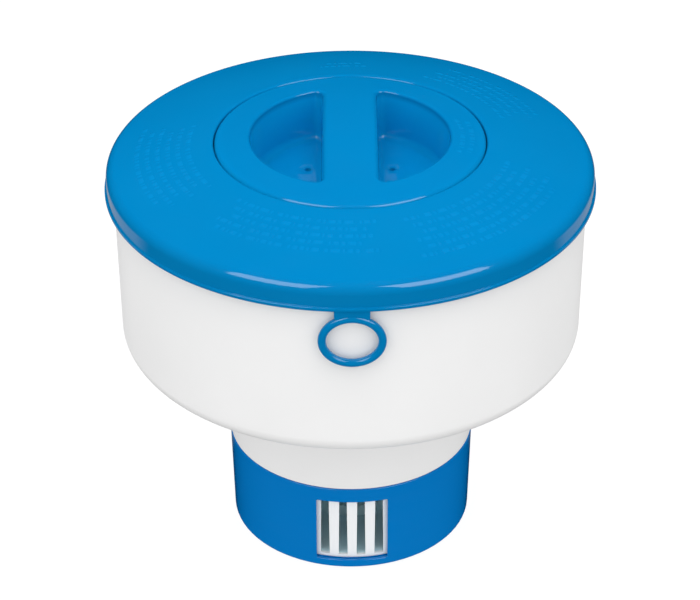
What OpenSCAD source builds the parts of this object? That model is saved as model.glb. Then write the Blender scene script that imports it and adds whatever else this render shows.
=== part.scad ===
// Floating tablet dispenser for a pool: a hollow float with a tablet chamber
// through its middle, a twist cap on top and a flow regulator at the bottom.
// Millimetres. Z is up, the regulator's foot stands on z = 0, and the tether
// eye and one regulator window face -Y.

/* [Cover] */
// Diameter over the lip of the cover's rim, the widest point of the float
rim_d = 178; // [176:0.5:186]
// Height of the rim's lower edge above the foot
rim_z = 141; // [139:0.5:143]
// Height of the crown of the dome above the rim's lower edge
crown_rise = 21.7; // [21:0.1:24]
// Radius of the shallow dome that the cover and the cap share
dome_r = 320; // [300:5:360]
// Wall thickness of the cover and the cap
cover_t = 2.4; // [2:0.1:2.8]

/* [Float shell] */
// Height of the underside of the bowl
bowl_z = 74; // [72:0.5:80]
// Wall thickness of the bowl
shell_t = 2.2; // [1.8:0.1:2.6]
// Outside diameter of the neck, level with the side of the regulator cup
neck_d = 91.6; // [91:0.1:91.8]

/* [Tablet chamber] */
// Inside diameter, with room for 76 mm tablets
chamber_d = 79.2; // [78:0.2:79.6]
// Slots in each group, one group behind each regulator window
slot_count = 4; // [2:1:4]
// Distance from one slot to the next
slot_pitch = 6.7; // [6:0.1:7]
// Width of a slot at its lower end
slot_w = 3.35; // [2.8:0.05:3.6]

/* [Twist cap] */
// Diameter of the cap
cap_d = 97.9; // [97:0.1:98]
// Diameter of the round recess
recess_d = 72.4; // [68:0.2:73]
// Depth of the recess, below the crown
recess_depth = 21.3; // [16:0.1:22]
// Width of the grip bar across the recess, between its side faces
grip_w = 19.8; // [18:0.2:24]
// Rise of the cap in one full turn of its lugs
lead = 24; // [18:1:28]

/* [Regulator] */
// Height of the regulator cup
cup_h = 36.6; // [36:0.1:38]
// Outside diameter at the top of the cup
cup_d = 92; // [91.6:0.1:92.4]
// Width of a window, straight across
window_w = 26.4; // [20:0.2:28]
// Height of a window
window_h = 27.2; // [20:0.1:27.4]
// How far the regulator turns from open to shut, in degrees
regulator_turn = 60; // [45:5:75]

/* [Tether eye] */
// Width over the eye
eye_w = 23.6; // [20:0.2:26]
// Height over the eye
eye_h = 20.6; // [18:0.2:21]
// Thickness of the eye's round bar
eye_t = 2.9; // [2.4:0.1:3]

/* [Hidden] */
$fn = 96;
eps = 0.01;

blue = "#0085CD";
white = "#EDEDED";
grey = "#55595E";

// Cover: dome, shoulder, skirt and lip
rim_r = rim_d / 2;
crown_z = rim_z + crown_rise;
dome_cz = crown_z - dome_r;
skirt_r = rim_r - 0.65;
shoulder_r = 4.4;
shoulder_x = skirt_r - shoulder_r;
shoulder_z = dome_cz + sqrt(pow(dome_r - shoulder_r, 2) - pow(shoulder_x, 2));
shoulder_a = atan2(shoulder_z - dome_cz, shoulder_x);
lip_h = 1.5;

// Seat of the cover on the shell's rim
shell_r = rim_r - 3.2;
shell_top = rim_z + 6.3;
gasket_t = 1.3;
seat_z = shell_top + gasket_t;

// Mouth of the cover, with the shelf under the cap and the collar below it
cap_r = cap_d / 2;
mouth_r = cap_r + 0.35;
shelf_z = rim_z + 14;
bore_r = cap_r - 3.45;
collar_r = bore_r + 2.1;

// Chamber tube, held in the collar's lower end and passing through the neck
tube_r = chamber_d / 2;
tube_or = tube_r + 1.7;
tube_top = rim_z - 6;
fit = 0.2;
collar_low = tube_top - 13;
seal_z = tube_top - 8;
seal_h = 2.4;

// Regulator cup: foot, floor, raised hub and windows
cup_r = cup_d / 2;
cup_r_low = cup_r - 0.95;
cup_ir = cup_r - 1.6;
cup_ir_low = cup_r_low - 1.5;
foot_ir = cup_r_low - 3.2;
foot_h = 1.5;
cup_floor = 3.3;
window_z = 3.5;
hub_z = 4.6;
hub_t = 2.2;
hub_or = 16;
boss_r = 8;
boss_gap = 0.06;
stop_r = 11;
stop_peg_r = 1.25;

// Neck, its spigot inside the cup's rim, and the basket below it
neck_r = neck_d / 2;
neck_low = cup_h + 0.2;
neck_end = cup_h - 1.8;
spigot_r = cup_ir - 0.5;
neck_gasket_t = 1.2;
shoulder_under = neck_end - neck_gasket_t;
basket_r = spigot_r - 0.1;
basket_r_low = cup_ir_low - 0.4;
basket_ir = basket_r - 2.1;
basket_ir_low = basket_r_low - 1.9;
basket_low = cup_floor + 0.35;
floor_t = 1.1;
rib_top = 11;

// Cap: rim, plug, lugs and the seal under the rim
seal_t = 1.1;
cap_under = shelf_z + 0.05 + seal_t + 0.1;
plug_r = bore_r - 2.5;
plug_t = 1.8;
plug_low = rim_z + 1.5;
recess_r = recess_d / 2;
recess_z = crown_z - recess_depth;
wall_t = 1.8;
lugs = 3;
lug_h = 2.2;
lug_z = rim_z + 3.5;
ledge_gap = 0.4;

function dome_z(r, t = 0) = dome_cz + sqrt(pow(dome_r - t, 2) - r * r);

// Points along an arc, or along an ellipse when ry is given
function arc(cx, cy, rx, a0, a1, n = 10, ry = undef) =
    [for (i = [0 : n])
        let (a = a0 + (a1 - a0) * i / n)
        [cx + rx * cos(a), cy + (ry == undef ? rx : ry) * sin(a)]];

// Points along the dome between two radii, at a depth t under its surface
function dome(r0, r1, t = 0, n = 12) =
    [for (i = [0 : n]) let (r = r0 + (r1 - r0) * i / n) [r, dome_z(r, t)]];

module ring(r_in, r_out, z0, z1) {
    rotate_extrude()
        polygon([[r_in, z0], [r_out, z0], [r_out, z1], [r_in, z1]]);
}

// A flat ring with its four edges eased, for seals and washers
module eased_ring(r_in, r_out, z0, z1, e = 0.3) {
    rotate_extrude()
        polygon([[r_in + e, z0], [r_out - e, z0], [r_out, z0 + e], [r_out, z1 - e],
                 [r_out - e, z1], [r_in + e, z1], [r_in, z1 - e], [r_in, z0 + e]]);
}

// A piece of a screw flank: a bar that climbs with the lead as it goes round
module flank(r_in, r_out, mid_a, sweep, z, h) {
    half = r_out * sin(sweep / 2);
    climb = half * lead / (PI * (r_in + r_out));
    intersection() {
        ring(r_in, r_out, z - h - climb, z + h + climb);
        rotate([0, 0, mid_a])
            rotate([90, 0, 90])
            linear_extrude(r_out + 1)
            polygon([[-half, -climb - h / 2 + z], [half, climb - h / 2 + z],
                     [half, climb + h / 2 + z], [-half, -climb + h / 2 + z]]);
    }
}

// A round-ended slot through a floor, pointing away from the axis
module water_slot(a, r0, r1, w, z0, z1) {
    rotate([0, 0, a])
        translate([0, 0, z0]) {
            translate([r0, -w / 2, 0])
                cube([r1 - r0, w, z1 - z0]);
            translate([r0, 0, 0])
                cylinder(h = z1 - z0, d = w);
            translate([r1, 0, 0])
                cylinder(h = z1 - z0, d = w);
        }
}

// Four of them, two on each side, out of sight of the windows
module water_slots(r0, r1, w, z0, z1) {
    for (a = [22.5, 157.5, 202.5, 337.5])
        water_slot(a, r0, r1, w, z0, z1);
}

// White bowl and neck: the outer wall of the air chamber
module float_shell() {
    wall_low = bowl_z + 12;
    corner_x = 25;
    low_r = shell_r - 0.85;
    color(white)
        rotate_extrude()
        polygon(concat(
            [[shell_r - 0.2, shell_top], [shell_r - 0.05, rim_z + 4.6],
             [shell_r + 0.45, rim_z + 4], [shell_r + 0.45, rim_z + 3.4],
             [shell_r, rim_z + 2.9], [shell_r, rim_z]],
            arc(low_r - corner_x, wall_low, corner_x, 0, -90, 14, 12),
            arc(neck_r + 3, bowl_z - 3.8, 3, 90, 180, 6),
            [[neck_r, neck_low], [spigot_r, neck_low], [spigot_r, neck_end],
             [tube_or + fit, neck_end], [tube_or + fit, neck_low + 1.6],
             [neck_r - shell_t, neck_low + 3.2]],
            arc(neck_r - shell_t + 4, bowl_z - 1.8, 4, 180, 90, 6),
            arc(low_r - corner_x, wall_low, corner_x - shell_t, -90, 0, 14, 12 - shell_t),
            [[shell_r - shell_t, rim_z - 2], [shell_r - 3, rim_z + 1],
             [shell_r - 3, shell_top]]));
}

module eye_bar() {
    half = (eye_w - eye_h) / 2;
    turn_r = (eye_h - eye_t) / 2;
    for (s = [0, 180])
        rotate([0, 0, s])
            translate([half, 0, 0])
            rotate([0, 0, -90])
            rotate_extrude(angle = 180)
            translate([turn_r, 0])
            circle(d = eye_t);
    for (s = [-1, 1])
        translate([-half, s * turn_r, 0])
            rotate([0, 90, 0])
            cylinder(h = 2 * half, d = eye_t);
}

// The eye hangs from a short tab under the rim, moulded with the cover
module tether_eye() {
    tab_w = 12.4;
    tab_t = 1.9;
    eye_y = -(rim_r - 1.6);
    eye_z = rim_z - 2 - eye_h / 2;
    translate([-tab_w / 2, eye_y - 0.9, eye_z + eye_h / 2 - 1.9])
        cube([tab_w, tab_t, 5]);
    translate([0, eye_y, eye_z])
        rotate([90, 0, 0])
        eye_bar();
}

// Blue cover: dome, rim and the collar that carries the cap
module float_cover() {
    color(blue) {
        difference() {
            rotate_extrude()
                polygon(concat(
                    [[mouth_r, shelf_z], [mouth_r, dome_z(mouth_r) - 0.8],
                     [mouth_r + 0.25, dome_z(mouth_r) - 0.25]],
                    dome(mouth_r + 0.8, shoulder_x + shoulder_r * cos(shoulder_a)),
                    arc(shoulder_x, shoulder_z, shoulder_r, shoulder_a * 0.9, 0, 9),
                    [[skirt_r, rim_z + lip_h + 0.3], [rim_r - 0.4, rim_z + lip_h],
                     [rim_r, rim_z + lip_h - 0.5], [rim_r, rim_z + 0.5],
                     [rim_r - 0.4, rim_z], [shell_r + 0.3, rim_z],
                     [shell_r + 0.3, rim_z + 1.9], [shell_r + 1, rim_z + 2.6],
                     [shell_r + 1, seat_z], [shell_r - 3.6, seat_z],
                     [shell_r - 4.4, dome_z(shell_r - 4.4, cover_t)]],
                    dome(shell_r - 6, collar_r + 4.1, cover_t, 8),
                    [[collar_r + 4.1, shelf_z - 2], [collar_r, shelf_z - 3.6],
                     [collar_r, rim_z - 2], [collar_r - 2.4, rim_z - 5],
                     [collar_r - 2.4, collar_low], [tube_or + fit, collar_low],
                     [tube_or + fit, tube_top + 0.4], [tube_r + 0.6, tube_top + 0.4],
                     [tube_r + 0.6, tube_top + 2.2], [bore_r, tube_top + 2.2],
                     [bore_r, shelf_z]]));
            ring(tube_or, tube_or + fit + 1.6, seal_z, seal_z + seal_h + 0.1);
        }
        for (i = [0 : lugs - 1])
            flank(bore_r - 2, bore_r + 0.5, 60 + i * 360 / lugs + 8, 36,
                  lug_z + lug_h + ledge_gap + lead * 8 / 360, lug_h);
        tether_eye();
    }
}

// Flat ring squeezed between the shell's rim and the cover
module cover_gasket() {
    color(grey)
        eased_ring(shell_r - 2.9, shell_r - 0.25, shell_top, seat_z);
}

// White tube that holds the tablets, with a slotted basket at its foot
module tablet_chamber() {
    slot_z = basket_low + floor_t;
    slot_top = shoulder_under - 1.2;
    raised = hub_z + hub_t + 0.6;
    color(white) {
        difference() {
            union() {
                rotate_extrude()
                    polygon([[hub_or + 1, basket_low], [basket_r_low, basket_low],
                             [basket_r, shoulder_under], [tube_or, shoulder_under],
                             [tube_or, tube_top - 0.6], [tube_or - 0.6, tube_top],
                             [tube_r, tube_top], [tube_r, shoulder_under],
                             [basket_ir, slot_top - 1.5], [basket_ir_low, slot_z],
                             [hub_or + 2.5, slot_z], [hub_or + 2.5, raised + 1.8],
                             [6, raised + 1.8], [6, rib_top], [eps, rib_top],
                             [eps, hub_z - 0.2], [boss_r, hub_z - 0.2],
                             [boss_r, raised], [hub_or + 1, raised]]);
                // Ribs that hold the tablets off the floor
                for (a = [0 : 45 : 315])
                    rotate([0, 0, a])
                        translate([hub_or + 2, -0.9, slot_z - eps])
                        cube([basket_ir_low - hub_or - 1.5, 1.8, rib_top - slot_z]);
                rotate([0, 0, -90])
                    translate([stop_r, 0, hub_z + 0.3])
                    cylinder(h = hub_t + 0.6, r = stop_peg_r);
            }
            // Two groups of slots, one in front and one behind
            for (turn = [0, 180], i = [0 : slot_count - 1])
                rotate([0, 0, turn])
                    translate([(i - (slot_count - 1) / 2) * slot_pitch, 0, 0])
                    rotate([90, 0, 0])
                    translate([0, 0, basket_ir_low - 2.6])
                    wall_slot(slot_z, slot_top);
            water_slots(hub_or + 6, basket_ir_low - 5, 4.2, basket_low - 1, slot_z + 0.5);
            translate([0, 0, -1])
                cylinder(h = rib_top, r = 2.05);
        }
    }
}

// One slot, a little narrower at its top, cut straight through the wall
module wall_slot(z0, z1) {
    linear_extrude(8)
        polygon([[-slot_w / 2, z0], [slot_w / 2, z0],
                 [slot_w / 2 - 0.3, z1], [-slot_w / 2 + 0.3, z1]]);
}

module chamber_seal() {
    color(grey)
        eased_ring(tube_or + 0.02, tube_or + fit + 1.55, seal_z + 0.05, seal_z + seal_h);
}

module neck_gasket() {
    color(grey)
        ring(tube_or + 0.3, spigot_r - 0.2, shoulder_under, neck_end);
}

// Blue cup that turns on the basket to open and shut the slots
module regulator_cup() {
    stop_a = asin(stop_peg_r / stop_r) + 1;
    color(blue)
        difference() {
            rotate_extrude()
                polygon(concat(
                    [[foot_ir, 0]],
                    arc(cup_r_low - 1.2, 1.2, 1.2, -90, 0, 5),
                    [[cup_r, cup_h - 0.4], [cup_r - 0.4, cup_h], [cup_ir + 0.3, cup_h],
                     [cup_ir, cup_h - 0.4], [cup_ir_low, cup_floor],
                     [hub_or, cup_floor], [hub_or, hub_z + hub_t],
                     [boss_r + boss_gap, hub_z + hub_t], [boss_r + boss_gap, hub_z],
                     [hub_or - 1.8, hub_z], [hub_or - 1.8, foot_h],
                     [foot_ir, foot_h]]));
            // Windows in front and behind
            for (s = [-1, 1])
                translate([-window_w / 2, s * (cup_r - 2) - 6, window_z])
                    cube([window_w, 12, window_h]);
            water_slots(hub_or + 6, foot_ir - 5, 4.2, 0, cup_floor + 1);
            // Arc in which the chamber's peg stops the turn
            translate([0, 0, hub_z - 1])
                rotate([0, 0, -90 - regulator_turn - stop_a])
                rotate_extrude(angle = regulator_turn + 2 * stop_a)
                translate([stop_r - stop_peg_r - 0.3, 0])
                square([2 * stop_peg_r + 0.6, hub_t + 2]);
        }
}

module retainer_washer() {
    color(white)
        eased_ring(2.25, stop_r + 2.4, hub_z - 1.35, hub_z - 0.25, 0.25);
}

// Plastic screw that holds the washer, and so the regulator, to the chamber
module retainer_screw() {
    head_low = 1;
    head_top = hub_z - 1.4;
    color(white)
        difference() {
            rotate_extrude()
                polygon(concat(
                    [[0, head_low]],
                    arc(3.6, head_low + 1, 1, -90, 0, 5),
                    [[4.6, head_top], [2, head_top], [2, rib_top - 2], [0, rib_top - 1.5]]));
            translate([-3.2, -0.6, head_low - 1])
                cube([6.4, 1.2, 2]);
        }
}

// Soft ring under the rim of the cap, which it lifts off with
module cap_seal() {
    color(grey)
        eased_ring(plug_r + 0.15, mouth_r - 0.9, shelf_z + 0.05, shelf_z + 0.05 + seal_t);
}

// The hollow on one side of the grip bar: a round bowl cut off by the bar's face
module finger_hollow(side) {
    draft = 1.2;
    floor_r = 3;
    lip_r = 1.1;
    bar_lip_r = 1.7;
    bar_top = grip_w / 2 - bar_lip_r;
    top = crown_z + 3;
    intersection() {
        rotate_extrude()
            polygon(concat(
                [[0, recess_z]],
                arc(recess_r - draft - floor_r, recess_z + floor_r, floor_r, -90, 0, 6),
                arc(recess_r + lip_r, dome_z(recess_r) - lip_r - 0.2, lip_r, 180, 90, 5),
                [[recess_r + lip_r, top], [0, top]]));
        mirror([side < 0 ? 1 : 0, 0, 0])
            translate([0, recess_r + 5, 0])
            rotate([90, 0, 0])
            linear_extrude(2 * recess_r + 10)
            polygon(concat(
                arc(grip_w / 2 + 0.5 + 2, recess_z + 2, 2, 180, 270, 5),
                [[recess_r + 5, recess_z], [recess_r + 5, top], [bar_top, top]],
                arc(bar_top, dome_z(bar_top) + 0.2 - bar_lip_r, bar_lip_r, 90, 0, 6)));
    }
}

// Blue cap: a grip bar between two finger hollows, a plug and three lugs
module twist_cap() {
    bar_inside = grip_w / 2 - wall_t;
    color(blue) {
        difference() {
            union() {
                rotate_extrude()
                    polygon(concat(
                        [[0, cap_under], [cap_r, cap_under], [cap_r, dome_z(cap_r) - 0.8],
                         [cap_r - 0.25, dome_z(cap_r) - 0.25]],
                        dome(cap_r - 0.8, 0)));
                ring(plug_r - plug_t, plug_r, plug_low, cap_under + eps);
                translate([0, 0, recess_z - 2])
                    cylinder(h = cap_under - recess_z + 2 + eps, r = recess_r + wall_t);
            }
            finger_hollow(1);
            finger_hollow(-1);
            // The bar is hollow underneath
            intersection() {
                rotate_extrude()
                    polygon(concat([[0, recess_z - 5], [recess_r - 1, recess_z - 5]],
                                   dome(recess_r - 1, 0, cover_t, 6)));
                translate([-bar_inside, -recess_r, recess_z - 5])
                    cube([2 * bar_inside, 2 * recess_r, recess_depth + 5]);
            }
            // One small drain hole in each hollow
            for (s = [-1, 1])
                translate([s * 15.4, 9, recess_z - 3])
                    cylinder(h = 4, r = 1.1);
        }
        for (i = [0 : lugs - 1])
            flank(plug_r - 0.5, plug_r + 2, 60 + i * 360 / lugs, 14, lug_z, lug_h);
    }
}

float_shell();
float_cover();
cover_gasket();
tablet_chamber();
chamber_seal();
neck_gasket();
regulator_cup();
retainer_washer();
retainer_screw();
cap_seal();
twist_cap();
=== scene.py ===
"""Looks of the floating tablet dispenser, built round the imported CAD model.

Shapes are worked out in millimetres in the CAD model's own frame and turned into
metres when a piece is made. +Z is up and the tether eye faces -Y.
"""

import math

import bmesh
import bpy
import numpy as np
from mathutils import Matrix, Vector
from mathutils.geometry import delaunay_2d_cdt


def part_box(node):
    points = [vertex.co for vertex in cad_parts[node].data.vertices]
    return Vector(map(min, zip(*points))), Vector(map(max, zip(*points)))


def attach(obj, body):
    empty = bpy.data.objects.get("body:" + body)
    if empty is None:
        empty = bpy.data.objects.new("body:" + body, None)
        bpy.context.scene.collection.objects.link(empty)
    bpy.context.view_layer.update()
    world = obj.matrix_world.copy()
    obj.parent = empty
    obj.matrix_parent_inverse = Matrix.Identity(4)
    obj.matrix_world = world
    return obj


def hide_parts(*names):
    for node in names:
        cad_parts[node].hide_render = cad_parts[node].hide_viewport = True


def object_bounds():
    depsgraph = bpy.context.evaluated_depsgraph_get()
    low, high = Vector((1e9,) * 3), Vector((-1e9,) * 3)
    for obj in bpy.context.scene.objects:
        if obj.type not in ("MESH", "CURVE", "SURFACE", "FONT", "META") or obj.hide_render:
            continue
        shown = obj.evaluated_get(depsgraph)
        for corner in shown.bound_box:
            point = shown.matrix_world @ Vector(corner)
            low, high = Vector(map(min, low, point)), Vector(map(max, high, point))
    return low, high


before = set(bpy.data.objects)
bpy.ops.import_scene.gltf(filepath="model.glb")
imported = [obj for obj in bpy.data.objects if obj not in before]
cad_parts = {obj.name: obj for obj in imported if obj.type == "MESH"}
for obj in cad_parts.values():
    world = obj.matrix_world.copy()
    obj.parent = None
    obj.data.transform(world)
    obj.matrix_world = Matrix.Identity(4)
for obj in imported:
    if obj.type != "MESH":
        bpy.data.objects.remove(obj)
cad_low, cad_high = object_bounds()

MM = 0.001
# Steps round the axis for large pieces, for the hub and for small holes
SEGMENTS = 256
HUB_SEGMENTS = 96
HOLE_SEGMENTS = 32


def box_mm(node):
    """Lowest and highest corner of a CAD node, in millimetres."""
    low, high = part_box(node)
    return low / MM, high / MM


# Sizes taken from the CAD nodes' boxes
shell_low, shell_high = box_mm("float_shell")
cover_low, cover_high = box_mm("float_cover")
cup_low, cup_high = box_mm("regulator_cup")
cap_low, cap_high = box_mm("twist_cap")
tube_low, tube_high = box_mm("tablet_chamber")

RIM_R = cover_high.x
CROWN_Z = cap_high.z
CAP_R = cap_high.x
CAP_LOW_Z = cap_low.z
CUP_R = cup_high.x
CUP_H = cup_high.z
SHELL_TOP = shell_high.z
NECK_END = shell_low.z
TUBE_TOP = tube_high.z

# Sizes repeated from the CAD source
RIM_Z = CROWN_Z - 21.7
DOME_R = 320
DOME_CZ = CROWN_Z - DOME_R
COVER_T = 2.4
SKIRT_R = RIM_R - 0.65
LIP_H = 1.5
SHOULDER_R = 4.4
SHOULDER_X = SKIRT_R - SHOULDER_R
SHOULDER_Z = DOME_CZ + math.sqrt((DOME_R - SHOULDER_R) ** 2 - SHOULDER_X ** 2)
SHOULDER_A = math.degrees(math.atan2(SHOULDER_Z - DOME_CZ, SHOULDER_X))
SHELL_R = RIM_R - 3.2
SHELL_T = 2.2
BOWL_Z = 74
BOWL_CORNER_W = 25
BOWL_CORNER_H = 12
BOWL_DRAW = 0.85
NECK_R = CUP_R - 0.2
NECK_LOW = CUP_H + 0.2
SPIGOT_R = CUP_R - 2.1
SEAT_Z = SHELL_TOP + 1.3
MOUTH_R = CAP_R + 0.35
MOUTH_EASE = 0.8
SHELF_Z = RIM_Z + 14
BORE_R = CAP_R - 3.45
COLLAR_R = BORE_R + 2.1
COLLAR_LOW = TUBE_TOP - 13
TUBE_R = 39.6
TUBE_FIT = 0.2
THROAT_R = TUBE_R + 1.7 + TUBE_FIT
SEAL_Z = TUBE_TOP - 8
GROOVE_H = 2.5
EYE_W = 23.6
EYE_H = 20.6
EYE_T = 2.9
EYE_Y = -(RIM_R - 1.6)
EYE_Z = RIM_Z - 2 - EYE_H / 2
TAB_W = 12.4
CUP_R_LOW = CUP_R - 0.95
CUP_IR = CUP_R - 1.6
CUP_IR_LOW = CUP_R_LOW - 1.5
CUP_WALL_TOP = CUP_H - 0.4
CUP_FLOOR = 3.3
FOOT_IR = CUP_R_LOW - 3.2
FOOT_H = 1.5
FOOT_EASE = 1.2
HUB_R = 16
HUB_Z = 4.6
HUB_TOP = 6.8
HUB_BORE_R = 8.06
STOP_R = 11
PEG_R = 1.25
PEG_ANGLE = -90
SHUT_TURN = 60
WINDOW_W = 26.4
WINDOW_H = 27.2
WINDOW_Z = 3.5
WATER_SLOTS = (22.5, 157.5, 202.5, 337.5)
CAP_UNDER = SHELF_Z + 1.25
PLUG_R = BORE_R - 2.5
PLUG_T = 1.8
PLUG_LOW_Z = RIM_Z + 1.5
RECESS_R = 36.2
RECESS_Z = CROWN_Z - 21.3
RECESS_WALL = 1.8
GRIP_W = 19.8
DRAIN_R = 1.1
DRAIN_X = 15.4
DRAIN_Y = 9
LEAD = 24
LUG_ANGLES = (60, 180, 300)
LUG_Z = RIM_Z + 3.5
LUG_H = 2.2
LEDGE_GAP = 0.4
LEDGE_TURN = 8
LEDGE_Z = LUG_Z + LUG_H + LEDGE_GAP + LEAD * LEDGE_TURN / 360

# The visible lugs and ledges, whose edges are eased
LUG_W = 2.5
LUG_EASE = 0.45
LUG_SWEEP = 12
LEDGE_SWEEP = 36


def dome_z(radius, depth=0.0):
    """Height of the shared dome at a radius, or of a surface that far under it."""
    return DOME_CZ + math.sqrt((DOME_R - depth) ** 2 - radius * radius)


def dome_over(x, y, depth=0.0):
    """Height of the dome over a point of the plan, or of a surface under it."""
    return dome_z(math.hypot(x, y), depth)


def polar(radius, angle):
    """Point of the plan at a radius and an angle in degrees."""
    a = math.radians(angle)
    return radius * math.cos(a), radius * math.sin(a)


def arc(cx, cy, r, a0, a1, n=12, ry=None):
    """Points along an arc, or along an ellipse when ry is given."""
    ry = r if ry is None else ry
    angles = [math.radians(a0 + (a1 - a0) * i / n) for i in range(n + 1)]
    return [(cx + r * math.cos(a), cy + ry * math.sin(a)) for a in angles]


def rounded(corners, n=6):
    """A path through corners (x, y, radius), each inner corner turned into an arc."""
    path = [corners[0][:2]]
    for before, corner, after in zip(corners, corners[1:], corners[2:]):
        q = Vector(corner[:2])
        radius = corner[2]
        u = (Vector(before[:2]) - q).normalized()
        v = (Vector(after[:2]) - q).normalized()
        straight = abs(u.dot(v)) > 0.9999
        if radius <= 0 or straight:
            path.append(tuple(q))
            continue
        half = u.angle(v) / 2
        middle = q + (u + v).normalized() * radius / math.sin(half)
        start = q + u * radius / math.tan(half) - middle
        turn = start.angle_signed(q + v * radius / math.tan(half) - middle)
        for i in range(n + 1):
            path.append(tuple(middle + Matrix.Rotation(-turn * i / n, 2) @ start))
    path.append(corners[-1][:2])
    return path


def dense(profile, step=3.0):
    """The same closed profile with points added along its long straight stretches."""
    out = []
    for p, q in zip(profile, profile[1:] + profile[:1]):
        out.append(p)
        parts = int(math.hypot(q[0] - p[0], q[1] - p[1]) / step)
        for i in range(1, parts + 1):
            t = i / (parts + 1)
            out.append((p[0] + (q[0] - p[0]) * t, p[1] + (q[1] - p[1]) * t))
    return out


def circle(r, n=SEGMENTS, cx=0.0, cy=0.0):
    """A closed round outline in plan."""
    return arc(cx, cy, r, 0, 360, n)[:-1]


def rounded_box(w, h, r, cx=0.0, cy=0.0, n=4, side=8):
    """A closed outline w by h with rounded corners and points along its sides."""
    x, y = w / 2 - r, h / 2 - r
    corners = [(x, -y, -90), (x, y, 0), (-x, y, 90), (-x, -y, 180)]
    out = []
    for i, (px, py, a) in enumerate(corners):
        turn = arc(cx + px, cy + py, r, a, a + 90, n)
        out += turn
        nx, ny, na = corners[(i + 1) % 4]
        after = arc(cx + nx, cy + ny, r, na, na + 90, n)[0]
        for k in range(1, side):
            t = k / side
            out.append((turn[-1][0] * (1 - t) + after[0] * t,
                        turn[-1][1] * (1 - t) + after[1] * t))
    return out


def at_height(outline, z):
    """The outline as a flat loop at height z."""
    return [(x, y, z) for x, y in outline]


def level(z):
    """A lift for Shell.fill that puts each point at height z."""
    return lambda x, y: (x, y, z)


def inside(points, outlines):
    """Whether each point lies within an odd number of the closed outlines."""
    p = np.asarray(points, float)
    odd = np.zeros(len(p), bool)
    for line in outlines:
        a = np.asarray(line, float)
        b = np.roll(a, -1, axis=0)
        up = (a[None, :, 1] > p[:, None, 1]) != (b[None, :, 1] > p[:, None, 1])
        rise = np.where(b[:, 1] == a[:, 1], 1e-12, b[:, 1] - a[:, 1])
        cross = a[:, 0] + (p[:, 1, None] - a[:, 1]) * (b[:, 0] - a[:, 0]) / rise
        odd ^= (up & (p[:, 0, None] < cross)).sum(1) % 2 == 1
    return odd


def seeds(outlines, spacing):
    """Points on a staggered grid within the outlines, and clear of them."""
    row_step, clear = spacing * 0.866, spacing * 0.55
    edge = np.concatenate([np.asarray(line, float) for line in outlines])
    low, high = edge.min(0), edge.max(0)
    grid = []
    for row, y in enumerate(np.arange(low[1], high[1], row_step)):
        for x in np.arange(low[0] + spacing * (row % 2) / 2, high[0], spacing):
            grid.append((x, y))
    grid = np.array(grid)
    grid = grid[inside(grid, outlines)]
    if len(grid) == 0:
        return []
    gap = np.sqrt(((grid[:, None, :] - edge[None, :, :]) ** 2).sum(2)).min(1)
    return [tuple(p) for p in grid[gap > clear]]


class Shell:
    """Points and faces of one piece, gathered in millimetres."""

    def __init__(self):
        self.points = []
        self.faces = []

    def stack(self, loops, closed=True):
        """Joins each loop of points to the next one."""
        first = len(self.points)
        n = len(loops[0])
        for loop in loops:
            self.points.extend(loop)
        last = n if closed else n - 1
        for k in range(len(loops) - 1):
            a = first + k * n
            for i in range(last):
                j = (i + 1) % n
                self.faces.append((a + i, a + j, a + n + j, a + n + i))

    def bar(self, loops):
        """Joins the loops and closes both ends."""
        self.stack(loops)
        self.cap(loops[0])
        self.cap(loops[-1])

    def turn(self, profile, closed=True, n=SEGMENTS):
        """Sweeps a profile of (radius, height) round the axis."""
        loops = [at_height(circle(r, n), z) for r, z in profile]
        if closed:
            loops.append(loops[0])
        self.stack(loops)

    def cap(self, loop):
        """Closes a flat or nearly flat loop with one face."""
        first = len(self.points)
        self.points.extend(loop)
        self.faces.append(tuple(range(first, first + len(loop))))

    def fill(self, outlines, spacing, lift):
        """Covers the plan between closed outlines with triangles, then lifts them."""
        plan, edges = [], []
        for line in outlines:
            first = len(plan)
            plan += line
            edges += [(first + i, first + (i + 1) % len(line)) for i in range(len(line))]
        plan += seeds(outlines, spacing)
        made = delaunay_2d_cdt([Vector(p) for p in plan], edges, [], 0, 1e-6)
        points, triangles = made[0], made[2]
        middles = [sum((points[i] for i in t), Vector((0, 0))) / len(t) for t in triangles]
        kept = inside([tuple(m) for m in middles], outlines)
        first = len(self.points)
        self.points += [lift(p.x, p.y) for p in points]
        self.faces += [tuple(first + i for i in t) for t, k in zip(triangles, kept) if k]


def clean(mesh):
    """Joins points that meet, drops slivers and loose points, and turns faces outward."""
    bm = bmesh.new()
    bm.from_mesh(mesh)
    bmesh.ops.remove_doubles(bm, verts=bm.verts, dist=0.004 * MM)
    bmesh.ops.dissolve_degenerate(bm, edges=bm.edges, dist=0.001 * MM)
    loose = [v for v in bm.verts if not v.link_faces]
    bmesh.ops.delete(bm, geom=loose, context="VERTS")
    bmesh.ops.recalc_face_normals(bm, faces=bm.faces)
    bm.to_mesh(mesh)
    bm.free()


def piece(name, shell, material, slot, body, *nodes):
    """Makes the shell a Blender object that rides on a body and stands for the nodes."""
    sharp_angle = math.radians(35)
    mesh = bpy.data.meshes.new(name)
    mesh.from_pydata([(x * MM, y * MM, z * MM) for x, y, z in shell.points], [], shell.faces)
    clean(mesh)
    mesh.polygons.foreach_set("use_smooth", [True] * len(mesh.polygons))
    mesh.set_sharp_from_angle(angle=sharp_angle)
    obj = bpy.data.objects.new(name, mesh)
    bpy.context.scene.collection.objects.link(obj)
    mesh.materials.append(material)
    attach(obj, body)
    if nodes:
        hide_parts(*nodes)
    return obj


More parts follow.
